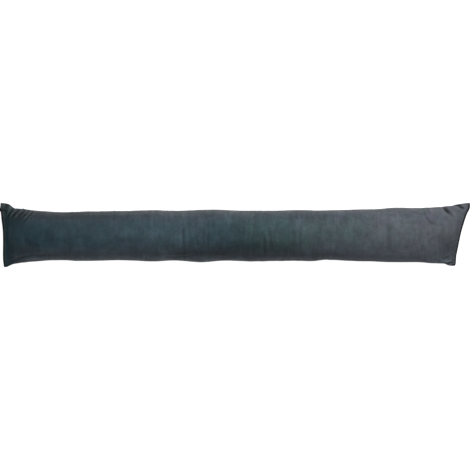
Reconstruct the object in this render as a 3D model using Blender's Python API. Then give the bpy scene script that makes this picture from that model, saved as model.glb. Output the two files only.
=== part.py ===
"""Draught excluder: a long velvet cushion that lies along the foot of a door.

Two rectangular panels are sewn together round all four edges, turned and filled. The filling
draws the long edges in, the short edges stay flat, and the four corners stand out as ears.
It lies on its back: +X runs along it, +Y across it and +Z up through its crown.
"""

import math
from collections import namedtuple

import bmesh
import bpy
from mathutils import Vector

# Driving sizes, in metres
LENGTH = 0.900  # from ear to ear
COVER_WIDTH = 0.132  # of one panel before it is filled
HALF_THICKNESS = 0.034  # of the filled middle
SEAM_HEIGHT = 0.031  # of the long seams above the floor, in the middle
PRESS = 0.006  # how far the filling's own roundness would reach below the floor
PRESS_BLEND = 0.0003  # softens the edge of the flat that it rests on

# Seams
SEAM_THICKNESS = 0.0036  # two panels and their turned-in allowances, pressed flat
LIP = 0.007  # flat border beside a short seam, as wide as its allowance
END_RISE = 0.088  # from a short seam to the full crown
END_FULLNESS = 0.75  # below 1 makes the rise steeper beside the seam
SEAM_DRAW = 0.0022  # how far a long seam is pulled into the side
SEAM_DRAW_ANGLE = math.radians(13)  # how far round the side that pull reaches

# Mesh
COLUMNS = 108  # along the length
ROWS = 26  # across each panel
COLUMN_CROWDING = 0.76  # 0 spaces the columns evenly, and nearer 1 crowds them at the ends
ROW_CROWDING = 1.15  # above 1 crowds the rows at the long seams
SKEW_REACH = 0.130  # how far in from an end the slant of its seam is felt

VELVET_COLOUR = (0.047, 0.062, 0.074, 1.0)
VELVET_ROUGHNESS = 0.85

# A point of a long edge: its distance from the left end, and from the centre line
EdgePoint = namedtuple("EdgePoint", "along out")
FAR_EDGE = [
    EdgePoint(0.0000, 0.0608),
    EdgePoint(0.0077, 0.0603),
    EdgePoint(0.0153, 0.0588),
    EdgePoint(0.0215, 0.0548),
    EdgePoint(0.0282, 0.0503),
    EdgePoint(0.0364, 0.0504),
    EdgePoint(0.0440, 0.0498),
    EdgePoint(0.0651, 0.0464),
    EdgePoint(0.0843, 0.0448),
    EdgePoint(0.1226, 0.0438),
    EdgePoint(0.1992, 0.0447),
    EdgePoint(0.2949, 0.0466),
    EdgePoint(0.3524, 0.0466),
    EdgePoint(0.3868, 0.0480),
    EdgePoint(0.4596, 0.0461),
    EdgePoint(0.5285, 0.0460),
    EdgePoint(0.5822, 0.0480),
    EdgePoint(0.6204, 0.0465),
    EdgePoint(0.7162, 0.0490),
    EdgePoint(0.7583, 0.0516),
    EdgePoint(0.7928, 0.0514),
    EdgePoint(0.8311, 0.0526),
    EdgePoint(0.8560, 0.0548),
    EdgePoint(0.8618, 0.0547),
    EdgePoint(0.8713, 0.0576),
    EdgePoint(0.8905, 0.0608),
    EdgePoint(0.9000, 0.0611),
]
NEAR_EDGE = [
    EdgePoint(0.0080, 0.0606),
    EdgePoint(0.0115, 0.0612),
    EdgePoint(0.0172, 0.0590),
    EdgePoint(0.0249, 0.0558),
    EdgePoint(0.0345, 0.0538),
    EdgePoint(0.0651, 0.0503),
    EdgePoint(0.1226, 0.0479),
    EdgePoint(0.1532, 0.0498),
    EdgePoint(0.2566, 0.0488),
    EdgePoint(0.2949, 0.0503),
    EdgePoint(0.3332, 0.0484),
    EdgePoint(0.3811, 0.0520),
    EdgePoint(0.4251, 0.0498),
    EdgePoint(0.4864, 0.0508),
    EdgePoint(0.5285, 0.0491),
    EdgePoint(0.6013, 0.0498),
    EdgePoint(0.6204, 0.0474),
    EdgePoint(0.6587, 0.0487),
    EdgePoint(0.7737, 0.0520),
    EdgePoint(0.8273, 0.0532),
    EdgePoint(0.8463, 0.0541),
    EdgePoint(0.8560, 0.0580),
    EdgePoint(0.8637, 0.0587),
    EdgePoint(0.8706, 0.0584),
]

# A point of a short seam: its distance from the centre line, from the left end, and from the floor
SeamPoint = namedtuple("SeamPoint", "across along height")
LEFT_SEAM = [
    SeamPoint(-0.0610, 0.0088, 0.019),
    SeamPoint(-0.0460, 0.0063, 0.022),
    SeamPoint(-0.0100, 0.0060, 0.024),
    SeamPoint(0.0098, 0.0054, 0.024),
    SeamPoint(0.0290, 0.0031, 0.025),
    SeamPoint(0.0430, 0.0018, 0.028),
    SeamPoint(0.0490, 0.0000, 0.030),
    SeamPoint(0.0540, 0.0020, 0.031),
    SeamPoint(0.0610, 0.0022, 0.031),
]
RIGHT_SEAM = [
    SeamPoint(-0.0586, 0.8706, 0.017),
    SeamPoint(-0.0550, 0.8721, 0.018),
    SeamPoint(-0.0400, 0.8729, 0.021),
    SeamPoint(-0.0236, 0.8761, 0.023),
    SeamPoint(0.0029, 0.8817, 0.024),
    SeamPoint(0.0180, 0.8859, 0.025),
    SeamPoint(0.0390, 0.8924, 0.027),
    SeamPoint(0.0500, 0.8990, 0.028),
    SeamPoint(0.0610, 0.9000, 0.028),
]

# A fold: a soft trough from one point of the panel to another, seen from above
Fold = namedtuple("Fold", "along across along_end across_end depth width")
FRONT_FOLDS = [
    # The fan beside the far left ear
    Fold(0.0150, 0.0390, 0.0240, 0.0480, 0.0030, 0.0026),
    Fold(0.0210, 0.0370, 0.0320, 0.0500, 0.0034, 0.0030),
    Fold(0.0285, 0.0290, 0.0440, 0.0490, 0.0036, 0.0034),
    Fold(0.0385, 0.0240, 0.0540, 0.0460, 0.0034, 0.0036),
    Fold(0.0490, 0.0240, 0.0670, 0.0450, 0.0030, 0.0040),
    # The near left corner
    Fold(0.0170, -0.0520, 0.0420, -0.0440, 0.0020, 0.0036),
    Fold(0.0300, -0.0500, 0.0750, -0.0420, 0.0016, 0.0040),
    # The far right ear and the deep crease beside it
    Fold(0.8760, 0.0570, 0.8880, 0.0490, 0.0040, 0.0036),
    Fold(0.8510, 0.0510, 0.8660, 0.0360, 0.0046, 0.0052),
    Fold(0.8170, 0.0330, 0.8290, 0.0190, 0.0018, 0.0050),
    Fold(0.7800, 0.0450, 0.8150, 0.0390, 0.0012, 0.0050),
    # The rumpled near right corner
    Fold(0.8420, -0.0430, 0.8500, -0.0560, 0.0020, 0.0044),
    Fold(0.8570, -0.0430, 0.8600, -0.0590, 0.0026, 0.0036),
    # Soft creases across the middle
    Fold(0.3480, 0.0300, 0.3500, -0.0350, 0.0012, 0.0090),
    Fold(0.5040, 0.0050, 0.5060, -0.0420, 0.0020, 0.0090),
    Fold(0.5730, 0.0200, 0.5740, -0.0300, 0.0012, 0.0090),
    Fold(0.7430, 0.0250, 0.7470, -0.0350, 0.0014, 0.0090),
]
BACK_FOLDS = [
    Fold(0.0170, 0.0370, 0.0300, 0.0500, 0.0030, 0.0034),
    Fold(0.0300, 0.0300, 0.0450, 0.0480, 0.0030, 0.0038),
    Fold(0.0200, -0.0400, 0.0380, -0.0540, 0.0028, 0.0038),
    Fold(0.0350, -0.0330, 0.0550, -0.0500, 0.0024, 0.0042),
    Fold(0.8620, 0.0380, 0.8440, 0.0540, 0.0032, 0.0040),
    Fold(0.8500, 0.0300, 0.8300, 0.0490, 0.0026, 0.0042),
    Fold(0.8500, -0.0400, 0.8330, -0.0520, 0.0028, 0.0040),
]
FOLD_RIDGE = 0.35  # height of the ridges beside a fold, as a share of its depth
FOLD_RIDGE_WIDTH = 2.0  # how much wider the ridges reach than the fold
FOLD_TAPER = 0.6  # below 1 makes a fold fade more slowly past its ends than beside it
FOLD_GIVE = 0.003  # height of the filling at which a fold reaches half its depth

# A slow swelling of the filling, as a wave along the length
Swell = namedtuple("Swell", "wavelength phase height lean")
SWELLS = [
    Swell(0.231, 0.4, 0.0010, 0.9),
    Swell(0.118, 2.1, 0.0007, -1.4),
    Swell(0.067, 4.0, 0.0004, 1.8),
]


def clear_scene():
    """Removes what the startup scene holds."""
    for found in list(bpy.data.objects):
        bpy.data.objects.remove(found, do_unlink=True)


def curve_through(rows, at, key, value):
    """The value column at a place along the key column, on a smooth curve through the rows."""
    if at <= getattr(rows[0], key):
        return getattr(rows[0], value)
    if at >= getattr(rows[-1], key):
        return getattr(rows[-1], value)
    i = max(k for k, row in enumerate(rows) if getattr(row, key) <= at)
    before, low, high, after = (rows[max(i - 1, 0)], rows[i], rows[i + 1], rows[min(i + 2, len(rows) - 1)])
    span = getattr(high, key) - getattr(low, key)
    share = (at - getattr(low, key)) / span

    def slope(a, b):
        return (getattr(b, value) - getattr(a, value)) / (getattr(b, key) - getattr(a, key)) * span

    start, end = slope(before, high), slope(low, after)
    y0, y1 = getattr(low, value), getattr(high, value)
    return (
        (2 * share**3 - 3 * share**2 + 1) * y0
        + (share**3 - 2 * share**2 + share) * start
        + (3 * share**2 - 2 * share**3) * y1
        + (share**3 - share**2) * end
    )


def station(s):
    """The distance from the left end of the column at share s of them, crowded at both ends."""
    return LENGTH * (s - COLUMN_CROWDING * math.sin(2 * math.pi * s) / (2 * math.pi))


def girth_angle(t):
    """The angle up from the long seam of the row at t, which runs from -1 to 1 across a panel."""
    return math.pi / 2 * (1 - abs(t)) ** ROW_CROWDING


def end_rise(distance):
    """How full the cushion is at that distance from a short seam, from 0 to 1."""
    share = min(max((distance - LIP) / (END_RISE - LIP), 0.0), 1.0)
    return math.sin(math.pi / 2 * share) ** END_FULLNESS


def settled(z):
    """The height after the cushion has settled on the floor: never below it, and flat where it rests."""
    if z >= PRESS_BLEND:
        return z
    if z <= -PRESS_BLEND:
        return 0.0
    return (z + PRESS_BLEND) ** 2 / (4 * PRESS_BLEND)


def half_thickness(half_width):
    """Half the thickness where the cushion is that wide: the girth stays the same, so wider is thinner.

    Puckers in the seams take up half of the difference.
    """
    girth_radius = COVER_WIDTH / math.pi
    by_girth = math.sqrt(max(2 * girth_radius**2 - half_width**2, 0.0))
    return (by_girth + HALF_THICKNESS) / 2


def fold_depth(folds, x, y):
    """How far the folds push the cloth in at a place seen from above."""
    total = 0.0
    for fold in folds:
        start = Vector((fold.along, fold.across))
        run = Vector((fold.along_end, fold.across_end)) - start
        reach = Vector((x, y)) - start
        share = reach.dot(run) / run.length_squared
        past = max(-share, share - 1.0, 0.0) * run.length
        beside = abs(reach.cross(run)) / run.length
        off = math.hypot(beside, FOLD_TAPER * past) / fold.width
        trough = math.exp(-(off**2))
        ridge = math.exp(-((off / FOLD_RIDGE_WIDTH) ** 2))
        total += fold.depth * ((1 + FOLD_RIDGE) * trough - FOLD_RIDGE * ridge)
    return total


def swell(x, y):
    """How far the uneven filling pushes the cloth out."""
    return sum(w.height * math.sin(2 * math.pi * (x + w.lean * y) / w.wavelength + w.phase) for w in SWELLS)


def cloth_point(s, t, side):
    """The point of a panel at share s along it and t across it, from -1 at the near seam to 1 at the far.

    side is 1 on the front panel and -1 on the back one.
    """
    base = station(s)
    angle = girth_angle(t)
    turn = math.copysign(math.cos(angle), t) if t else 0.0
    left_across = turn * (FAR_EDGE[0].out if t > 0 else NEAR_EDGE[0].out)
    right_across = turn * (FAR_EDGE[-1].out if t > 0 else NEAR_EDGE[-1].out)
    left = max(1 - base / SKEW_REACH, 0.0) ** 2
    right = max(1 - (LENGTH - base) / SKEW_REACH, 0.0) ** 2
    x = base
    x += left * curve_through(LEFT_SEAM, left_across, "across", "along")
    x -= right * (LENGTH - curve_through(RIGHT_SEAM, right_across, "across", "along"))

    far = curve_through(FAR_EDGE, x, "along", "out")
    near = curve_through(NEAR_EDGE, x, "along", "out")
    half_width, middle = (far + near) / 2, (far - near) / 2
    rise = end_rise(min(base, LENGTH - base))
    left_height = curve_through(LEFT_SEAM, left_across, "across", "height")
    right_height = curve_through(RIGHT_SEAM, right_across, "across", "height")
    end_height = left_height if base < LENGTH / 2 else right_height
    seam = end_height + (SEAM_HEIGHT - end_height) * rise

    half = half_thickness(half_width)
    crown = 2 * half - SEAM_HEIGHT if side > 0 else SEAM_HEIGHT + PRESS
    roundness = 2 - rise  # a lens beside the short seams and an ellipse in the middle
    bulge = crown * rise * math.sin(angle) ** roundness
    y = middle + half_width * turn
    outward = Vector((turn * crown, side * math.sin(angle) * half_width)).normalized()
    drawn = SEAM_DRAW * rise * max(1 - angle / SEAM_DRAW_ANGLE, 0.0) ** 2
    folded = fold_depth(FRONT_FOLDS if side > 0 else BACK_FOLDS, x, y) * bulge / (bulge + FOLD_GIVE)
    pushed = swell(x, y) * rise - folded - drawn
    y += outward.x * pushed
    z = seam + side * (SEAM_THICKNESS / 2 + bulge) + outward.y * pushed
    return Vector((x - LENGTH / 2, y, settled(z)))


def add_panel(mesh, side):
    """One panel as a grid of the cover's own cloth, shaped by the filling, and its border edges."""
    panel = bmesh.ops.create_grid(mesh, x_segments=COLUMNS, y_segments=ROWS, size=1.0)["verts"]
    for vertex in panel:
        vertex.co = cloth_point((vertex.co.x + 1) / 2, vertex.co.y, side)
    return list({edge for vertex in panel for edge in vertex.link_edges if edge.is_boundary})


def velvet_material():
    """The velvet's plain finish."""
    material = bpy.data.materials.new("velvet")
    material.use_nodes = True
    shader = material.node_tree.nodes["Principled BSDF"]
    shader.inputs["Base Color"].default_value = VELVET_COLOUR
    shader.inputs["Roughness"].default_value = VELVET_ROUGHNESS
    shader.inputs["Metallic"].default_value = 0.0
    return material


def stand_at_origin(mesh):
    """Moves the cushion so that the origin is under the middle of its box."""
    low = Vector(min(v.co[k] for v in mesh.verts) for k in range(3))
    high = Vector(max(v.co[k] for v in mesh.verts) for k in range(3))
    foot = Vector(((low.x + high.x) / 2, (low.y + high.y) / 2, low.z))
    bmesh.ops.translate(mesh, verts=mesh.verts, vec=-foot)


def filled_cover(collection):
    """The whole cushion: a front and a back panel, joined all round by their seam."""
    mesh = bmesh.new()
    front_border = add_panel(mesh, 1)
    back_border = add_panel(mesh, -1)
    bmesh.ops.bridge_loops(mesh, edges=front_border + back_border)
    stand_at_origin(mesh)
    bmesh.ops.recalc_face_normals(mesh, faces=mesh.faces)
    data = bpy.data.meshes.new("filled_cover")
    mesh.to_mesh(data)
    mesh.free()
    data.shade_smooth()
    data.materials.append(velvet_material())
    collection.objects.link(bpy.data.objects.new("filled_cover", data))


def main():
    clear_scene()
    collection = bpy.data.collections.new("draught_excluder")
    bpy.context.scene.collection.children.link(collection)
    filled_cover(collection)


main()
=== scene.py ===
"""The looks of a velvet draught excluder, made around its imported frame.

The cover is drawn again from its two sewn panels, at a finer pitch than the frame's solid. A cloth simulation lets the
filling push it out while its seams hold, and then the creases, the puckers and the seam itself are pressed in.
"""

from collections import namedtuple

import bmesh
import bpy
import numpy as np
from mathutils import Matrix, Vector, kdtree, noise


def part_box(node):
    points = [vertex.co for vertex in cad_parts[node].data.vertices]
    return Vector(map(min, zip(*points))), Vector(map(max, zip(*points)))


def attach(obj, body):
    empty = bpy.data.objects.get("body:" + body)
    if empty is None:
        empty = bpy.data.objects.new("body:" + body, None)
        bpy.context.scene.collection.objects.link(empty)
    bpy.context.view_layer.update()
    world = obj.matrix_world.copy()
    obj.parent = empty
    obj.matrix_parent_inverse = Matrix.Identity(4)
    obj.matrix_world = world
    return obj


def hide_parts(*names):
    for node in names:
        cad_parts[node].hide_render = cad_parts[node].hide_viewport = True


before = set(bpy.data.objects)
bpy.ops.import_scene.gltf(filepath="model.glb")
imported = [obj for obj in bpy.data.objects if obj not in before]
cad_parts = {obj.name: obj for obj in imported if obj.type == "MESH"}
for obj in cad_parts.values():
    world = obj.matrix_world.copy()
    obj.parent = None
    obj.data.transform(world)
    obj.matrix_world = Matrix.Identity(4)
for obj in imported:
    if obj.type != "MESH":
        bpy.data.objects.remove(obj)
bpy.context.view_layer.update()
NODE = "filled_cover"
NODE_LOW, NODE_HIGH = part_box(NODE)

# Sizes of the sewn cover, in metres, as its solid has them
LENGTH = NODE_HIGH.x - NODE_LOW.x
COVER_WIDTH = 0.132  # of one panel before it is filled
HALF_THICKNESS = 0.034
SEAM_HEIGHT = 0.031
PRESS = 0.006
LIP = 0.007
END_RISE = 0.088
END_FULLNESS = 0.75
SKEW_REACH = 0.130
SEAM_THICKNESS = 0.0030

# Mesh of the visible cover, before one subdivision
COLUMNS = 260
ROWS = 44
COLUMN_CROWDING = 0.45
ROW_CROWDING = 1.15

# A point of a long edge: its distance from the left end, and from the centre line
EdgePoint = namedtuple("EdgePoint", "along out")
FAR_EDGE = [
    EdgePoint(0.0000, 0.0603),
    EdgePoint(0.0077, 0.0599),
    EdgePoint(0.0153, 0.0588),
    EdgePoint(0.0215, 0.0562),
    EdgePoint(0.0275, 0.0517),
    EdgePoint(0.0316, 0.0503),
    EdgePoint(0.0364, 0.0504),
    EdgePoint(0.0440, 0.0498),
    EdgePoint(0.0651, 0.0464),
    EdgePoint(0.0843, 0.0448),
    EdgePoint(0.1226, 0.0438),
    EdgePoint(0.1992, 0.0447),
    EdgePoint(0.2949, 0.0466),
    EdgePoint(0.3524, 0.0466),
    EdgePoint(0.3868, 0.0480),
    EdgePoint(0.4596, 0.0461),
    EdgePoint(0.5285, 0.0460),
    EdgePoint(0.5822, 0.0480),
    EdgePoint(0.6204, 0.0465),
    EdgePoint(0.7162, 0.0490),
    EdgePoint(0.7583, 0.0516),
    EdgePoint(0.7928, 0.0514),
    EdgePoint(0.8311, 0.0531),
    EdgePoint(0.8560, 0.0554),
    EdgePoint(0.8618, 0.0554),
    EdgePoint(0.8713, 0.0576),
    EdgePoint(0.8905, 0.0600),
    EdgePoint(0.9000, 0.0602),
]
NEAR_EDGE = [
    EdgePoint(0.0080, 0.0606),
    EdgePoint(0.0115, 0.0612),
    EdgePoint(0.0172, 0.0590),
    EdgePoint(0.0249, 0.0563),
    EdgePoint(0.0345, 0.0549),
    EdgePoint(0.0440, 0.0534),
    EdgePoint(0.0651, 0.0504),
    EdgePoint(0.1226, 0.0479),
    EdgePoint(0.1532, 0.0498),
    EdgePoint(0.2566, 0.0488),
    EdgePoint(0.2949, 0.0503),
    EdgePoint(0.3332, 0.0484),
    EdgePoint(0.3811, 0.0520),
    EdgePoint(0.4251, 0.0498),
    EdgePoint(0.4864, 0.0508),
    EdgePoint(0.5285, 0.0491),
    EdgePoint(0.6013, 0.0498),
    EdgePoint(0.6204, 0.0474),
    EdgePoint(0.6587, 0.0493),
    EdgePoint(0.6894, 0.0511),
    EdgePoint(0.7180, 0.0509),
    EdgePoint(0.7737, 0.0520),
    EdgePoint(0.8040, 0.0520),
    EdgePoint(0.8273, 0.0543),
    EdgePoint(0.8440, 0.0552),
    EdgePoint(0.8503, 0.0557),
    EdgePoint(0.8560, 0.0580),
    EdgePoint(0.8637, 0.0587),
    EdgePoint(0.8706, 0.0584),
]

# A point of a short seam: its distance from the centre line, from the left end, and from the floor
SeamPoint = namedtuple("SeamPoint", "across along height")
LEFT_SEAM = [
    SeamPoint(-0.0610, 0.0074, 0.019),
    SeamPoint(-0.0460, 0.0058, 0.022),
    SeamPoint(-0.0100, 0.0060, 0.024),
    SeamPoint(0.0098, 0.0054, 0.024),
    SeamPoint(0.0290, 0.0031, 0.025),
    SeamPoint(0.0430, 0.0018, 0.028),
    SeamPoint(0.0482, 0.0000, 0.030),
    SeamPoint(0.0540, 0.0014, 0.031),
    SeamPoint(0.0610, 0.0022, 0.031),
]
RIGHT_SEAM = [
    SeamPoint(-0.0586, 0.8706, 0.017),
    SeamPoint(-0.0550, 0.8721, 0.018),
    SeamPoint(-0.0400, 0.8729, 0.021),
    SeamPoint(-0.0236, 0.8761, 0.023),
    SeamPoint(0.0029, 0.8817, 0.024),
    SeamPoint(0.0180, 0.8859, 0.025),
    SeamPoint(0.0390, 0.8929, 0.027),
    SeamPoint(0.0500, 0.8984, 0.028),
    SeamPoint(0.0610, 0.8986, 0.028),
]

# A crease pressed into the cloth: its two ends seen from above, as distances from the left end and from the centre
# line, how deep and how wide it is, and how far its middle bows to one side
Fold = namedtuple("Fold", "along across along_end across_end depth width bow", defaults=[0.0])
FRONT_FOLDS = [
    # the fan gathered at the far left corner: troughs, then the narrow ridges between them
    Fold(0.0257, 0.0504, 0.0153, 0.0356, 0.0038, 0.0016, 0.0000),
    Fold(0.0408, 0.0519, 0.0220, 0.0327, 0.0036, 0.0017, 0.0000),
    Fold(0.0536, 0.0509, 0.0326, 0.0331, 0.0024, 0.0016, 0.0000),
    Fold(0.0603, 0.0490, 0.0383, 0.0270, 0.0026, 0.0017, 0.0006),
    Fold(0.0689, 0.0500, 0.0448, 0.0224, 0.0034, 0.0015, 0.0000),
    Fold(0.0823, 0.0433, 0.0642, 0.0331, 0.0014, 0.0022, 0.0000),
    Fold(0.0203, 0.0567, 0.0126, 0.0350, -0.0026, 0.0016, 0.0000),
    Fold(0.0352, 0.0538, 0.0188, 0.0347, -0.0044, 0.0014, 0.0000),
    Fold(0.0475, 0.0529, 0.0264, 0.0308, -0.0038, 0.0014, 0.0000),
    Fold(0.0555, 0.0481, 0.0393, 0.0350, -0.0020, 0.0013, 0.0000),
    Fold(0.0659, 0.0490, 0.0448, 0.0270, -0.0010, 0.0014, 0.0000),
    Fold(0.0712, 0.0462, 0.0506, 0.0213, -0.0006, 0.0013, 0.0000),
    # the flat ear there
    Fold(0.0165, 0.0592, 0.0077, 0.0500, 0.0028, 0.0016, 0.0000),
    Fold(0.0065, 0.0481, 0.0134, 0.0419, 0.0020, 0.0018, 0.0000),
    # the slack beside the near left corner
    Fold(0.0150, -0.0540, 0.0640, -0.0405, 0.0018, 0.0030, -0.0030),
    Fold(0.0330, -0.0440, 0.1300, -0.0370, 0.0012, 0.0034, -0.0020),
    Fold(0.0300, -0.0480, 0.0900, -0.0450, -0.0010, 0.0022, -0.0030),
    Fold(0.0100, -0.0450, 0.0300, -0.0400, 0.0008, 0.0030, 0.0),
    # the far right corner
    Fold(0.8655, 0.0560, 0.8830, 0.0570, 0.0012, 0.0014, 0.0004),
    Fold(0.8725, 0.0607, 0.8901, 0.0484, 0.0074, 0.0024, 0.0004),
    Fold(0.8646, 0.0569, 0.8857, 0.0569, 0.0022, 0.0014, 0.0000),
    Fold(0.8460, 0.0561, 0.8621, 0.0412, 0.0054, 0.0026, 0.0002),
    Fold(0.8503, 0.0534, 0.8690, 0.0324, 0.0026, 0.0034, 0.0000),
    Fold(0.8570, 0.0490, 0.8740, 0.0370, -0.0014, 0.0030, 0.0),
    # soft creases where the right end is rounded
    Fold(0.8135, 0.0350, 0.8265, 0.0195, 0.0022, 0.0026, 0.0002),
    Fold(0.8240, 0.0235, 0.8420, 0.0170, 0.0008, 0.0026, 0.0004),
    Fold(0.7800, 0.0450, 0.8160, 0.0390, 0.0014, 0.0030, 0.0006),
    Fold(0.8160, 0.0470, 0.8260, 0.0410, 0.0012, 0.0034, 0.0),
    Fold(0.8280, 0.0400, 0.8370, 0.0280, 0.0010, 0.0036, -0.0020),
    # the rumpled near right corner
    Fold(0.8545, -0.0568, 0.8670, -0.0520, 0.0044, 0.0018, 0.0),
    Fold(0.8520, -0.0516, 0.8640, -0.0504, -0.0022, 0.0014, 0.0),
    Fold(0.8662, -0.0520, 0.8702, -0.0620, 0.0034, 0.0016, -0.0004),
    Fold(0.8430, -0.0515, 0.8680, -0.0475, -0.0020, 0.0014, 0.0006),
    Fold(0.8590, -0.0445, 0.8690, -0.0430, -0.0012, 0.0014, 0.0),
    Fold(0.8450, -0.0480, 0.8640, -0.0405, 0.0018, 0.0022, 0.0),
    Fold(0.8300, -0.0470, 0.8460, -0.0530, 0.0014, 0.0022, 0.0004),
    Fold(0.8600, -0.0330, 0.8680, -0.0420, 0.0010, 0.0024, 0.0),
    # faint creases across the middle
    Fold(0.3288, 0.0360, 0.3290, 0.0080, 0.0008, 0.0026, 0.0004),
    Fold(0.3408, 0.0200, 0.3410, -0.0200, 0.0009, 0.0026, 0.0),
    Fold(0.3500, 0.0280, 0.3530, -0.0380, 0.0012, 0.0032, 0.0006),
    Fold(0.3905, 0.0250, 0.3900, -0.0200, 0.0008, 0.0028, 0.0),
    Fold(0.3985, 0.0300, 0.3995, -0.0350, 0.0009, 0.0030, 0.0),
    Fold(0.4650, 0.0330, 0.4655, -0.0050, 0.0008, 0.0028, 0.0),
    Fold(0.5035, 0.0080, 0.5060, -0.0390, 0.0016, 0.0034, 0.0008),
    Fold(0.5130, 0.0180, 0.5190, -0.0360, 0.0014, 0.0030, -0.0006),
    Fold(0.5735, 0.0320, 0.5740, -0.0350, 0.0010, 0.0032, 0.0),
    Fold(0.6300, 0.0230, 0.6305, -0.0320, 0.0009, 0.0032, 0.0),
    Fold(0.7410, 0.0330, 0.7460, -0.0360, 0.0015, 0.0048, 0.0010),
    Fold(0.8000, 0.0230, 0.8005, -0.0250, 0.0006, 0.0028, 0.0),
    Fold(0.8180, 0.0130, 0.8185, -0.0260, 0.0006, 0.0028, 0.0),
]
BACK_FOLDS = [
    Fold(0.0140, 0.0340, 0.0320, 0.0530, 0.0032, 0.0028, 0.0010),
    Fold(0.0260, 0.0260, 0.0480, 0.0500, 0.0030, 0.0030, 0.0010),
    Fold(0.0180, -0.0370, 0.0400, -0.0560, 0.0030, 0.0030, -0.0010),
    Fold(0.0320, -0.0300, 0.0580, -0.0520, 0.0024, 0.0034, -0.0010),
    Fold(0.8640, 0.0360, 0.8420, 0.0560, 0.0034, 0.0032, 0.0010),
    Fold(0.8520, 0.0280, 0.8280, 0.0510, 0.0026, 0.0034, 0.0010),
    Fold(0.8520, -0.0380, 0.8310, -0.0540, 0.0030, 0.0032, -0.0010),
    Fold(0.3490, 0.0380, 0.3520, 0.0200, 0.0014, 0.0040, 0.0),
    Fold(0.5600, -0.0200, 0.5620, -0.0420, 0.0014, 0.0040, 0.0),
]
FOLD_RIDGE = 0.35  # height of the ridges beside a fold, as a share of its depth
FOLD_RIDGE_WIDTH = 2.0  # how much wider the ridges reach than the fold

# A patch that looks lighter or darker: its centre, its reach both ways and its tone. Some are the pile lying another
# way, and some are painted light and shade
Patch = namedtuple("Patch", "along across reach_along reach_across tone")
PILE_AND_SHADE_PATCHES = [
    Patch(0.058, 0.003, 0.020, 0.026, 0.30),
    Patch(0.039, 0.004, 0.020, 0.016, 0.24),
    Patch(0.056, -0.043, 0.018, 0.005, 0.36),
    Patch(0.150, 0.038, 0.100, 0.011, -0.20),
    Patch(0.139, -0.015, 0.014, 0.018, -0.20),
    Patch(0.222, 0.004, 0.016, 0.012, 0.10),
    Patch(0.265, 0.000, 0.100, 0.022, 0.14),
    Patch(0.308, 0.008, 0.016, 0.026, 0.15),
    Patch(0.348, -0.034, 0.010, 0.008, -0.18),
    Patch(0.400, -0.004, 0.014, 0.012, -0.08),
    Patch(0.433, -0.036, 0.014, 0.008, -0.20),
    Patch(0.466, 0.012, 0.022, 0.024, -0.12),
    Patch(0.644, -0.028, 0.010, 0.016, -0.15),
    # Painted shade: the long darker patches here lie along the near side, which is turned from the light
    Patch(0.450, -0.028, 0.120, 0.014, -0.31),
    Patch(0.500, -0.012, 0.090, 0.022, -0.22),
    Patch(0.560, -0.022, 0.014, 0.020, -0.17),
    Patch(0.590, -0.040, 0.120, 0.010, -0.22),
    Patch(0.732, 0.016, 0.020, 0.018, 0.20),
    Patch(0.730, -0.022, 0.014, 0.012, -0.12),
    Patch(0.290, -0.044, 0.040, 0.005, 0.20),
    Patch(0.326, 0.042, 0.032, 0.006, 0.16),
    Patch(0.602, 0.032, 0.014, 0.014, -0.10),
    Patch(0.772, 0.020, 0.020, 0.026, 0.10),
    Patch(0.600, 0.036, 0.130, 0.010, -0.12),
    Patch(0.855, 0.018, 0.022, 0.026, 0.15),
    Patch(0.860, -0.022, 0.030, 0.025, -0.36),
    Patch(0.0065, 0.056, 0.004, 0.005, 0.55),
    Patch(0.020, 0.052, 0.006, 0.004, 0.80),
    Patch(0.0175, 0.044, 0.004, 0.009, 0.50),
    Patch(0.062, 0.049, 0.026, 0.007, -0.16),
    Patch(0.0035, 0.0475, 0.004, 0.0035, -0.60),
    Patch(0.873, 0.040, 0.012, 0.012, 0.15),
    Patch(0.888, 0.056, 0.006, 0.008, 0.16),
    Patch(0.8965, 0.050, 0.0030, 0.008, -0.35),
    Patch(0.857, 0.047, 0.018, 0.008, -0.23),
    Patch(0.882, 0.000, 0.008, 0.018, -0.22),
]
LIP_LIGHT = 0.14  # painted light: how much lighter the flat lip at the end seams is painted, where it catches the light
LONG_CLEAR = 0.0036  # what the long seams count as further off by, so the painted shade along them is fainter
# Where the painted shade along the seam is fainter or stronger, and by what distance it counts as further away
SEAM_SHADE_SHIFTS = [
    Patch(0.004, 0.058, 0.006, 0.009, 0.003),
    Patch(0.892, 0.030, 0.014, 0.030, -0.0012),
    Patch(0.892, 0.062, 0.006, 0.0035, 0.002),
]
# How deep the cloth is pressed in, and the tone it has there: painted shade in the troughs, painted light on the
# ridges
CREASE_SHADING = [(-0.003, 1.8), (0.0, 1.0), (0.005, 0.3)]

# How far the cloth moves when the filling pushes it, and how its seams gather it
PUSH_FRAMES = 20
PUSH_MOST = 0.004
SLACK_REACH = 0.030
SLACK = 0.04
PUCKER = 0.0007
PUCKER_REACH = 0.012
SEAM_DRAW = 0.0014
SEAM_DRAW_REACH = 0.0030
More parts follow.
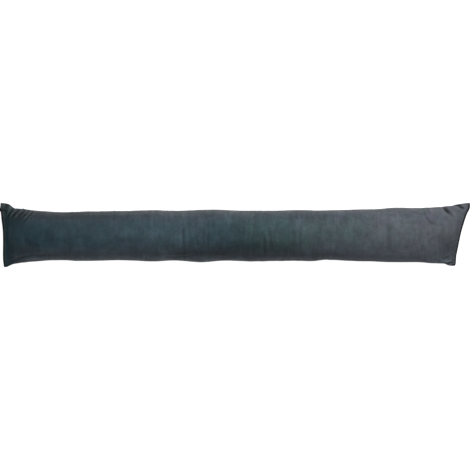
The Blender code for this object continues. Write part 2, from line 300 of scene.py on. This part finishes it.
# The line where the turned-in edge of a long seam shows through: how far it is from the seam, and how deep
Turning = namedtuple("Turning", "along reach depth")
NEAR_TURNING = [
    Turning(0.000, 0.0150, 0.0002),
    Turning(0.270, 0.0220, 0.0003),
    Turning(0.300, 0.0215, 0.0008),
    Turning(0.330, 0.0200, 0.0013),
    Turning(0.355, 0.0210, 0.0013),
    Turning(0.375, 0.0255, 0.0013),
    Turning(0.400, 0.0220, 0.0012),
    Turning(0.430, 0.0180, 0.0008),
    Turning(0.460, 0.0165, 0.0007),
    Turning(0.575, 0.0140, 0.0003),
    Turning(0.650, 0.0140, 0.0003),
    Turning(0.900, 0.0140, 0.0003),
]
FAR_TURNING = [
    Turning(0.000, 0.0180, 0.0003),
    Turning(0.300, 0.0170, 0.0005),
    Turning(0.500, 0.0190, 0.0003),
    Turning(0.700, 0.0170, 0.0004),
    Turning(0.900, 0.0180, 0.0002),
]
TURNING_WIDTH = 0.0026
HOLLOW_SHADE = 0.16  # painted shade: how much darker the hollow inside that line is painted
STITCHES = 0.0075  # how far from the end seams the lip is held down
STITCH_DEPTH = 0.00012
KNOT = (0.0479, 0.0017, 0.0022)  # the end of the thread in the left seam: how far across, its reach, and its height
# What the outline is let out by, because the finer mesh is drawn in a little at its edges
FAR_OUT = 0.0014
NEAR_OUT = 0.0007
LEFT_OUT = 0.0010
RIGHT_OUT = 0.0018

# A slow swelling of the filling, as a wave along the length
Swell = namedtuple("Swell", "wavelength phase height lean")
SWELLS = [
    Swell(0.231, 0.4, 0.0010, 0.9),
    Swell(0.118, 2.1, 0.0007, -1.4),
    Swell(0.067, 4.0, 0.0004, 1.8),
]
# How the long seams rise and sink
SEAM_WAVES = [Swell(0.190, 0.0, 0.0012, 1.7), Swell(0.083, 0.0, 0.0007, 2.6)]
SWELL_ACROSS = 0.4  # how much of it shows in the outline


def curve_through(rows, at, key, value):
    """The value column at places along the key column, on a smooth curve through the rows."""
    keys = np.array([getattr(row, key) for row in rows])
    values = np.array([getattr(row, value) for row in rows])
    slopes = np.gradient(values, keys)
    slopes[1:-1] = (values[2:] - values[:-2]) / (keys[2:] - keys[:-2])
    at = np.clip(at, keys[0], keys[-1])
    i = np.clip(np.searchsorted(keys, at) - 1, 0, len(keys) - 2)
    span = keys[i + 1] - keys[i]
    share = (at - keys[i]) / span
    return (
        (2 * share**3 - 3 * share**2 + 1) * values[i]
        + (share**3 - 2 * share**2 + share) * slopes[i] * span
        + (3 * share**2 - 2 * share**3) * values[i + 1]
        + (share**3 - share**2) * slopes[i + 1] * span
    )


def station(s):
    """How far along the cover a share of its panel is, in metres."""
    return LENGTH * (s - COLUMN_CROWDING * np.sin(2 * np.pi * s) / (2 * np.pi))


def cover_shape(s, t, side):
    """Points of the filled cover.

    s is the share along a panel, t runs from -1 at the near seam to 1 at the far one, and side is 1 on the front
    panel and -1 on the back one.
    """
    base = station(s)
    angle = np.pi / 2 * (1 - np.abs(t)) ** ROW_CROWDING
    turn = np.sign(t) * np.cos(angle)
    left_across = turn * np.where(t > 0, FAR_EDGE[0].out, NEAR_EDGE[0].out)
    right_across = turn * np.where(t > 0, FAR_EDGE[-1].out, NEAR_EDGE[-1].out)
    left = np.clip(1 - base / SKEW_REACH, 0, 1) ** 2
    right = np.clip(1 - (LENGTH - base) / SKEW_REACH, 0, 1) ** 2
    x = base + left * curve_through(LEFT_SEAM, left_across, "across", "along")
    x -= right * (LENGTH - curve_through(RIGHT_SEAM, right_across, "across", "along"))

    far = curve_through(FAR_EDGE, x, "along", "out") + FAR_OUT
    near = curve_through(NEAR_EDGE, x, "along", "out") + NEAR_OUT
    x += RIGHT_OUT * right - LEFT_OUT * left
    half_width = (far + near) / 2
    from_end = np.minimum(base, LENGTH - base)
    rise = np.sin(np.pi / 2 * np.clip((from_end - LIP) / (END_RISE - LIP), 0, 1)) ** END_FULLNESS
    left_height = curve_through(LEFT_SEAM, left_across, "across", "height")
    right_height = curve_through(RIGHT_SEAM, right_across, "across", "height")
    end_height = np.where(base < LENGTH / 2, left_height, right_height)
    seam = end_height + (SEAM_HEIGHT - end_height) * rise
    seam += rise * turn**4 * sum(w.height * np.sin(2 * np.pi * x / w.wavelength + w.lean * turn) for w in SEAM_WAVES)

    by_girth = np.sqrt(np.clip(2 * (COVER_WIDTH / np.pi) ** 2 - half_width**2, 0, None))
    half = (by_girth + HALF_THICKNESS) / 2
    crown = np.where(side > 0, 2 * half - SEAM_HEIGHT, SEAM_HEIGHT + PRESS)
    bulge = crown * rise * np.sin(angle) ** (2 - rise)
    swell = sum(w.height * np.sin(2 * np.pi * (x + w.lean * turn * half_width) / w.wavelength + w.phase) for w in SWELLS)
    across_push, up_push = turn * crown, np.sin(angle) * half_width
    reach = np.hypot(across_push, up_push)
    y = (far - near) / 2 + half_width * turn + SWELL_ACROSS * across_push / reach * swell * rise
    z = seam + side * (SEAM_THICKNESS / 2 + bulge + up_push / reach * swell * rise)
    return np.column_stack([x - LENGTH / 2, y, np.maximum(z, 0.0)])


def sewn_cover():
    """The cover as one closed mesh: two panels joined all round, each point keeping its place on the cloth."""
    mesh = bmesh.new()
    places = {name: mesh.verts.layers.float.new(name) for name in ("cloth_s", "cloth_t", "cloth_side")}
    borders = []
    for side in (1, -1):
        panel = bmesh.ops.create_grid(mesh, x_segments=COLUMNS, y_segments=ROWS, size=1.0)["verts"]
        for vertex in panel:
            vertex[places["cloth_s"]] = (vertex.co.x + 1) / 2
            vertex[places["cloth_t"]] = vertex.co.y
            vertex[places["cloth_side"]] = side
            vertex.co.z = side  # keeps the two panels apart until they get their shape
        borders += list({edge for vertex in panel for edge in vertex.link_edges if edge.is_boundary})
    bmesh.ops.bridge_loops(mesh, edges=borders)
    bmesh.ops.recalc_face_normals(mesh, faces=mesh.faces)
    data = bpy.data.meshes.new("velvet_cover")
    mesh.to_mesh(data)
    mesh.free()
    s, t, side = (read(data, name) for name in ("cloth_s", "cloth_t", "cloth_side"))
    write_points(data, cover_shape(s, t, side))
    cover = bpy.data.objects.new("velvet_cover", data)
    bpy.context.scene.collection.objects.link(cover)
    return cover


def read(data, name):
    """A float attribute of a mesh's points."""
    values = np.zeros(len(data.vertices), np.float32)
    data.attributes[name].data.foreach_get("value", values)
    return values.astype(float)


def points_of(data):
    """The mesh's points as rows of x, y and z."""
    values = np.zeros(len(data.vertices) * 3, np.float32)
    data.vertices.foreach_get("co", values)
    return values.reshape(-1, 3).astype(float)


def write_points(data, points):
    """Moves the mesh's points."""
    data.vertices.foreach_set("co", points.astype(np.float32).ravel())
    data.update()


def seam_distance(data, long_only=False):
    """How far each point is from the seam that runs round the cover, or from its two long sides, in metres."""
    points = points_of(data)
    s, t = read(data, "cloth_s"), read(data, "cloth_t")
    on_seam = np.abs(t) > 0.999
    if not long_only:
        on_seam |= (s < 0.0001) | (s > 0.9999)
    on_seam = np.where(on_seam)[0]
    tree = kdtree.KDTree(len(on_seam))
    for i in on_seam:
        tree.insert(points[i], int(i))
    tree.balance()
    return np.array([tree.find(point)[2] for point in points])


def put_in_group(cover, name, weights):
    """A vertex group with the given weight for each point."""
    group = cover.vertex_groups.new(name=name)
    for i in np.where(weights > 0.01)[0]:
        group.add([int(i)], float(weights[i]), "REPLACE")


def fill_out(cover):
    """Lets the filling push the cloth out while the seams and the resting face hold, then keeps the result."""
    data = cover.data
    start = points_of(data)
    distance = seam_distance(data)
    held = (distance < 0.0001) | (start[:, 2] < 0.0005)
    put_in_group(cover, "held", held.astype(float))
    put_in_group(cover, "slack", np.exp(-((distance / SLACK_REACH) ** 2)))
    modifier = cover.modifiers.new("filling", "CLOTH")
    cloth = modifier.settings
    cloth.quality = 5
    cloth.mass = 0.3
    cloth.tension_stiffness = cloth.compression_stiffness = 15.0
    cloth.shear_stiffness = 5.0
    cloth.bending_stiffness = 0.2
    cloth.use_pressure = True
    cloth.uniform_pressure_force = 4.0
    cloth.vertex_group_mass = "held"
    cloth.vertex_group_shrink = "slack"
    cloth.shrink_min = 0.0
    cloth.shrink_max = -SLACK
    cloth.effector_weights.gravity = 0.0
    modifier.collision_settings.use_collision = False
    modifier.collision_settings.use_self_collision = False
    modifier.point_cache.frame_end = PUSH_FRAMES
    for frame_number in range(1, PUSH_FRAMES + 1):
        bpy.context.scene.frame_set(frame_number)
    moved = points_of(cover.evaluated_get(bpy.context.evaluated_depsgraph_get()).data) - start
    far = np.linalg.norm(moved, axis=1)
    moved *= (np.minimum(far, PUSH_MOST) / np.maximum(far, 1e-9))[:, None]
    cover.modifiers.remove(modifier)
    cover.vertex_groups.clear()
    bpy.context.scene.frame_set(1)
    settle(data, start + moved)


def settle(data, points):
    """Moves the mesh's points, and keeps them on or above the floor."""
    points[:, 2] = np.maximum(points[:, 2], 0.0)
    write_points(data, points)


def subdivide(cover):
    """Makes the mesh twice as fine."""
    modifier = cover.modifiers.new("finer", "SUBSURF")
    modifier.levels = 1
    finer = bpy.data.meshes.new_from_object(cover.evaluated_get(bpy.context.evaluated_depsgraph_get()))
    cover.modifiers.remove(modifier)
    coarse = cover.data
    cover.data = finer
    bpy.data.meshes.remove(coarse)
    finer.name = "velvet_cover"


def fold_depth(folds, along, across):
    """How far the folds press the cloth in at places seen from above."""
    total = np.zeros(len(along))
    for fold in folds:
        run = np.array([fold.along_end - fold.along, fold.across_end - fold.across])
        length = np.hypot(*run)
        reach_along, reach_across = along - fold.along, across - fold.across
        share = np.clip((reach_along * run[0] + reach_across * run[1]) / length**2, 0, 1)
        beside = (reach_along * run[1] - reach_across * run[0]) / length
        arch = 4 * share * (1 - share)
        off = (beside - fold.bow * arch) / fold.width
        trough = np.exp(-(off**2))
        ridge = np.exp(-((off / FOLD_RIDGE_WIDTH) ** 2))
        total += fold.depth * arch**0.7 * ((1 + FOLD_RIDGE) * trough - FOLD_RIDGE * ridge)
    return total


def normals_of(data):
    """The mesh's point normals."""
    values = np.zeros(len(data.vertices) * 3, np.float32)
    data.vertex_normals.foreach_get("vector", values)
    return values.reshape(-1, 3).astype(float)


def roughly(points, scale, seed):
    """Smooth irregular values from -1 to 1 at places, the same in each run."""
    return np.array([noise.noise(Vector(point) * scale + Vector((seed, 0.0, 0.0))) for point in points])


def press_creases(cover):
    """Presses in the folds, the groove of the seam and the small puckers that it gathers."""
    data = cover.data
    points = points_of(data)
    side = read(data, "cloth_side")
    distance = seam_distance(data)
    along, across = points[:, 0] + LENGTH / 2, points[:, 1]
    base = station(read(data, "cloth_s"))
    end = np.minimum(base, LENGTH - base)
    from_end = np.clip(end / 0.02, 0, 1)
    folds = np.where(side > 0, fold_depth(FRONT_FOLDS, along, across), fold_depth(BACK_FOLDS, along, across))
    clear = distance / (distance + 0.004)
    stretched = np.column_stack([points[:, 0] * 95, points[:, 1] * 12, side * 2.0])
    puckers = roughly(stretched, 1.0, 3.7) * (0.6 + 0.9 * roughly(points, 9.0, 8.1))
    gather = PUCKER * puckers * np.exp(-distance / PUCKER_REACH) * from_end
    groove = SEAM_DRAW * np.exp(-((distance / SEAM_DRAW_REACH) ** 2)) * from_end
    wander = 0.0012 * roughly(points * (1.0, 0.2, 0.2), 38.0, 2.2)
    broken = np.clip(0.75 + 1.2 * roughly(points * (1.0, 0.2, 0.2), 30.0, 6.1), 0, 1.2)
    reach = np.where(across > 0, *(curve_through(t, along, "along", "reach") for t in (FAR_TURNING, NEAR_TURNING)))
    depth = np.where(across > 0, *(curve_through(t, along, "along", "depth") for t in (FAR_TURNING, NEAR_TURNING)))
    turning = depth * broken * np.exp(-(((distance - reach - wander) / TURNING_WIDTH) ** 2)) * from_end
    stitched = STITCH_DEPTH * np.exp(-(((end - STITCHES) / 0.0014) ** 2))
    inward = folds * clear + gather + groove + turning + stitched
    points -= normals_of(data) * inward[:, None]
    points[:, 0] -= KNOT[2] * np.exp(-(((across - KNOT[0]) / KNOT[1]) ** 2)) * np.clip(1 - base / 0.003, 0, 1)
    settle(data, points)
    # Painted shade: the distance from the seam, which the material darkens close to the seam
    keep(data, "seam", distance + patched(SEAM_SHADE_SHIFTS, along, across) + LONG_CLEAR * from_end)
    # Painted shade in the fold troughs and the turning line, painted light on the fold ridges
    crease_shading = np.interp(folds * clear + turning, *zip(*CREASE_SHADING))
    # Painted shade in the hollow inside the turning line
    hollow_shade = HOLLOW_SHADE * depth / 0.001 * np.exp(-(((distance - reach - 0.007) / 0.006) ** 2)) * from_end
    # Painted light on the flat lip at the end seams
    lip_light = LIP_LIGHT * np.exp(-(((end - 0.0045) / 0.0022) ** 2))
    keep(data, "pile_tone_and_shading", (pile_tone_and_shading(along, across, side) + lip_light - hollow_shade) * crease_shading)
    # Painted sheen along the long seams of the front, and painted highlight on the crests of folds
    beside = seam_distance(data, long_only=True)
    inner = np.clip(end / 0.03, 0, 1)
    later = np.clip(np.where(across > 0, base - 0.030, base - 0.012) / 0.050, 0, 1)
    inner *= np.where(side > 0, 1.0, 0.5)
    crest_light = np.clip(-folds * clear / 0.002, 0, 1) * (side > 0)
    keep(data, "painted_sheen", np.maximum(np.clip((0.026 - beside) / 0.010, 0, 1) * inner, crest_light))
    # Painted sheen: a wide greyer band in from the long seams
    near_reach = np.interp(along, [0.54, 0.60], [0.048, 0.053])
    edge_sheen = np.where(across > 0, (0.044 - beside) / 0.020, (near_reach - beside) / 0.018)
    keep(data, "edge_sheen", np.clip(edge_sheen, 0, 1) * inner * later)
    ended = np.clip((0.0115 - along) / 0.004, 0, 1)
    eared = np.clip((0.026 - along) / 0.006, 0, 1) * np.clip((across - 0.040) / 0.012, 0, 1)
    keep(data, "ended", np.maximum(ended, eared))
    data.shade_smooth()


def pile_tone_and_shading(along, across, side):
    """The tone of the pile at each place, about 1, with the painted light and shade of the patches."""
    return 1 + patched(PILE_AND_SHADE_PATCHES, along, across) * (side > 0)


def patched(patches, along, across):
    """The sum of the soft patches at each place."""
    total = np.zeros(len(along))
    for patch in patches:
        off_along = (along - patch.along) / patch.reach_along
        off_across = (across - patch.across) / patch.reach_across
        total += patch.tone * np.exp(-(off_along**2) - off_across**2)
    return total


def keep(data, name, values):
    """Keeps a value for each point under a name that the material reads."""
    attribute = data.attributes.new(name, "FLOAT", "POINT")
    attribute.data.foreach_set("value", values.astype(np.float32))


class Nodes:
    """Adds nodes to a material's tree, each linked or set through its inputs."""

    def __init__(self, tree):
        self.tree = tree

    def add(self, kind, inputs=(), **settings):
        node = self.tree.nodes.new("ShaderNode" + kind)
        for name, value in settings.items():
            setattr(node, name, value)
        for name, value in dict(inputs).items():
            if isinstance(value, bpy.types.NodeSocket):
                self.tree.links.new(value, node.inputs[name])
            else:
                node.inputs[name].default_value = value
        return node

    def math(self, operation, first, second):
        return self.add("Math", {0: first, 1: second}, operation=operation).outputs[0]

    def attribute(self, name):
        return self.add("Attribute", attribute_name=name).outputs["Fac"]

    def noise(self, place, stretch, scale, detail=3.0, roughness=0.5):
        """Smooth noise from 0 to 1, its cells squeezed along each axis by stretch."""
        mapped = self.add("Mapping", {"Vector": place, "Scale": stretch}).outputs[0]
        inputs = {"Vector": mapped, "Scale": scale, "Detail": detail, "Roughness": roughness}
        return self.add("TexNoise", inputs).outputs["Fac"]

    def ramp(self, value, low, high, to_low, to_high):
        """The value moved from one range to another, and held inside it."""
        inputs = {"Value": value, "From Min": low, "From Max": high, "To Min": to_low, "To Max": to_high}
        return self.add("MapRange", inputs).outputs[0]

    def mix(self, share, first, second):
        """A colour between two, by a share from 0 to 1."""
        return self.add("MixRGB", {"Fac": share, "Color1": first, "Color2": second}).outputs[0]

    def colours(self, value, stops):
        """The colour at a value from 0 to 1, between the stops."""
        node = self.add("ValToRGB", {"Fac": value})
        ramp = node.color_ramp
        while len(ramp.elements) < len(stops):
            ramp.elements.new(0.5)
        for element, (place, colour) in zip(ramp.elements, stops):
            element.position = place
            element.color = colour
        return node.outputs["Color"]


def velvet_material():
    """Short matt pile in a blue grey, with a soft sheen where it is seen along its tips."""
    material = bpy.data.materials.new("velvet_pile")
    material.use_nodes = True
    nodes = Nodes(material.node_tree)
    place = nodes.add("TexCoord").outputs["Object"]
    along, across, _ = nodes.add("SeparateXYZ", {0: place}).outputs

    # The dye looks bluer at the left, and lighter and greyer at the right as painted light; it is greyer at the edges
    # as painted sheen, with uneven borders
    drift = nodes.noise(place, (1.0, 1.6, 1.0), 12.0)
    shift = nodes.ramp(drift, 0.3, 0.7, -0.05, 0.05)
    place_in_dye = nodes.ramp(nodes.math("ADD", along, shift), -0.45, 0.45, 0.0, 1.0)
    # Painted sheen: greyer colour near the long seams
    colour = nodes.mix(nodes.attribute("edge_sheen"), nodes.colours(place_in_dye, DYE_AND_PAINTED_LIGHT), nodes.colours(place_in_dye, EDGE_SHEEN_DYE))
    # Painted sheen and highlight: grey at the rims and on fold crests
    sheen_grey = nodes.mix(nodes.ramp(across, -0.02, 0.02, 0.0, 1.0), *SHEEN_GREYS)
    colour = nodes.mix(nodes.math("MULTIPLY", nodes.attribute("painted_sheen"), SHEEN_SHARE), colour, sheen_grey)
    colour = nodes.mix(nodes.attribute("ended"), colour, END_DYE)
    mottled = nodes.ramp(nodes.noise(place, (1.3, 1.0, 1.0), 42.0, 3.0, 0.6), 0.36, 0.64, 0.0, 1.0)
    colour = nodes.add("VectorMath", {0: colour, 1: nodes.mix(mottled, *TINTS)}, operation="MULTIPLY").outputs[0]

    # Tone of the pile: broad patches, cloudy marks of handling, faint streaks and single tufts, with painted light and
    # shade
    cloudy = nodes.ramp(nodes.noise(place, (1.0, 1.0, 1.0), 34.0, 5.0, 0.65), 0.3, 0.7, 0.82, 1.18)
    brushed = nodes.ramp(nodes.noise(place, (7.0, 1.4, 1.0), 22.0, 4.0, 0.6), 0.3, 0.7, -0.19, 0.19)
    where = nodes.ramp(nodes.noise(place, (1.0, 1.0, 1.0), 17.0), 0.38, 0.60, 0.30, 1.0)
    middle = nodes.ramp(nodes.math("ABSOLUTE", along, 0.0), 0.12, 0.26, 1.35, 0.85)
    streaks = nodes.math("ADD", nodes.math("MULTIPLY", nodes.math("MULTIPLY", brushed, where), middle), 1.0)
    tufts = nodes.ramp(nodes.noise(place, (1.0, 1.0, 1.0), 500.0, 2.0), 0.3, 0.7, 0.88, 1.12)
    blotches = nodes.ramp(nodes.noise(place, (1.0, 1.0, 1.0), 90.0, 4.0, 0.65), 0.3, 0.7, 0.87, 1.13)
    # Painted shade: darker right at the seam
    seam_shade = nodes.ramp(nodes.attribute("seam"), 0.0022, 0.0048, 0.12, 1.0)
    # The pile tone, carrying the painted light and shade of the patches, the lip, the hollow and the folds
    tone = nodes.attribute("pile_tone_and_shading")
    for part in (cloudy, blotches, streaks, tufts, seam_shade):
        tone = nodes.math("MULTIPLY", tone, part)
    toned = nodes.add("VectorMath", {0: colour, "Scale": tone}, operation="SCALE").outputs[0]

    # Pile standing in small tufts over a soft, slightly dented cloth
    fine = nodes.noise(place, (1.0, 1.0, 1.0), 900.0, 2.0)
    soft = nodes.noise(place, (2.2, 1.0, 1.0), 60.0, 3.0)
    pile = nodes.add("Bump", {"Strength": 0.35, "Distance": 0.0006, "Height": fine}).outputs[0]
    dented = nodes.add("Bump", {"Strength": 0.25, "Distance": 0.002, "Height": soft, "Normal": pile}).outputs[0]

    shader = material.node_tree.nodes["Principled BSDF"]
    material.node_tree.links.new(toned, shader.inputs["Base Color"])
    material.node_tree.links.new(dented, shader.inputs["Normal"])
    shader.inputs["Roughness"].default_value = 0.9
    shader.inputs["Specular IOR Level"].default_value = 0.12
    shader.inputs["Sheen Weight"].default_value = 0.25
    shader.inputs["Sheen Roughness"].default_value = 0.4
    shader.inputs["Sheen Tint"].default_value = SHEEN
    return material


def studio():
    """A plain pale floor, soft light that comes mostly from the far right, and the camera straight above."""
    floor_mesh = bpy.data.meshes.new("floor")
    mesh = bmesh.new()
    bmesh.ops.create_grid(mesh, x_segments=1, y_segments=1, size=6.0)
    mesh.to_mesh(floor_mesh)
    mesh.free()
    floor = bpy.data.objects.new("floor", floor_mesh)
    bpy.context.scene.collection.objects.link(floor)
    paint = bpy.data.materials.new("floor_paint")
    paint.use_nodes = True
    shader = paint.node_tree.nodes["Principled BSDF"]
    shader.inputs["Base Color"].default_value = FLOOR_PAINT
    shader.inputs["Roughness"].default_value = 1.0
    shader.inputs["Specular IOR Level"].default_value = 0.0
    shader.inputs["Emission Color"].default_value = (1.0, 1.0, 1.0, 1.0)
    shader.inputs["Emission Strength"].default_value = FLOOR_GLOW
    floor_mesh.materials.append(paint)

    for name, place, aim, size, power in LIGHTS:
        lamp = bpy.data.lights.new(name, "AREA")
        lamp.shape = "DISK"
        lamp.size = size
        lamp.energy = power
        lamp_object = bpy.data.objects.new(name, lamp)
        lamp_object.location = place
        lamp_object.rotation_euler = (Vector(aim) - Vector(place)).to_track_quat("-Z", "Y").to_euler()
        bpy.context.scene.collection.objects.link(lamp_object)

    world = bpy.data.worlds.new("studio")
    world.use_nodes = True
    world.node_tree.nodes["Background"].inputs["Color"].default_value = (1.0, 1.0, 1.0, 1.0)
    world.node_tree.nodes["Background"].inputs["Strength"].default_value = SKY
    bpy.context.scene.world = world

    camera = bpy.data.objects.new("camera", bpy.data.cameras.new("camera"))
    camera.data.lens = 200
    camera.location = (0.0, 0.0, SEAM_HEIGHT + LENGTH * camera.data.lens / camera.data.sensor_width)
    bpy.context.scene.collection.objects.link(camera)
    bpy.context.scene.camera = camera
    bpy.context.scene.view_settings.view_transform = "Standard"


# The dye along the length: bluer at the left, lighter and greyer to the right as painted light
DYE_AND_PAINTED_LIGHT = [
    (0.00, (0.028, 0.062, 0.078, 1.0)),
    (0.14, (0.038, 0.068, 0.084, 1.0)),
    (0.36, (0.042, 0.067, 0.082, 1.0)),
    (0.46, (0.037, 0.067, 0.081, 1.0)),
    (0.56, (0.041, 0.070, 0.077, 1.0)),
    (0.64, (0.048, 0.073, 0.079, 1.0)),
    (0.76, (0.054, 0.075, 0.083, 1.0)),
    (0.86, (0.068, 0.077, 0.089, 1.0)),
    (1.00, (0.070, 0.078, 0.090, 1.0)),
]
# Painted sheen: the greyer colour of the band near the long seams
EDGE_SHEEN_DYE = [
    (0.00, (0.051, 0.068, 0.084, 1.0)),
    (0.60, (0.054, 0.070, 0.087, 1.0)),
    (0.85, (0.066, 0.074, 0.091, 1.0)),
    (1.00, (0.067, 0.075, 0.091, 1.0)),
]
# Painted sheen: the greys of the rims and fold crests, near side then far side
SHEEN_GREYS = [(0.073, 0.089, 0.107, 1.0), (0.082, 0.091, 0.098, 1.0)]
SHEEN_SHARE = 0.6
END_DYE = (0.047, 0.063, 0.064, 1.0)
TINTS = [(0.955, 1.02, 0.975, 1.0), (1.055, 0.98, 1.03, 1.0)]
SHEEN = (0.80, 0.80, 0.80, 1.0)
FLOOR_PAINT = (0.25, 0.25, 0.25, 1.0)
FLOOR_GLOW = 1.0
SKY = 0.22
# Name, place, where it aims, diameter in metres, and power in watts
LIGHTS = [
    ("key", (0.45, 0.44, 0.78), (0.20, 0.0, 0.0), 0.8, 10.6),
]

cover = sewn_cover()
fill_out(cover)
subdivide(cover)
press_creases(cover)
cover.data.materials.append(velvet_material())
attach(cover, "root")
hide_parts(NODE)
studio()
